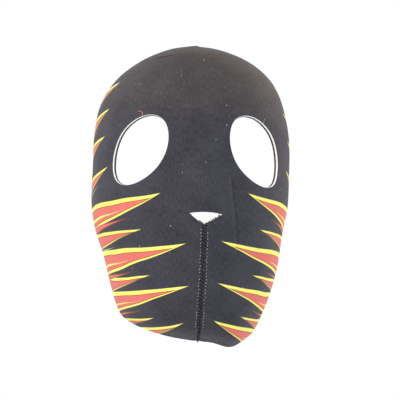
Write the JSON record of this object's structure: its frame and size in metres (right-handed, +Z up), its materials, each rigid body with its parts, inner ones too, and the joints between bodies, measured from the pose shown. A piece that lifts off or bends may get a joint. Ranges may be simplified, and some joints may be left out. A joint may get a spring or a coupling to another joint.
{
  "type": "face_mask",
  "caption": "Soft neoprene full-face mask with printed charcoal cloth, two oval eye openings, a small nose opening, a stitched front seam and a closure at the nape.",
  "frame": {"origin": "in the head hollow, on the mid plane between the eye openings, at eye height", "axes": "+X to the viewer's right, +Y from the face towards the nape, +Z up towards the crown"},
  "size_m": [0.1641, 0.1859, 0.2487],
  "materials": {
    "printed_neoprene": "matt knit face with printed stripes in yellow and coral",
    "dark_knit": "matt dark knit",
    "hook_and_loop": "matt black tape"
  },
  "bodies": {
    "root": {"mask_shell": "printed_neoprene", "lining": "dark_knit", "closure_tab": "hook_and_loop"}
  },
  "joints": []
}
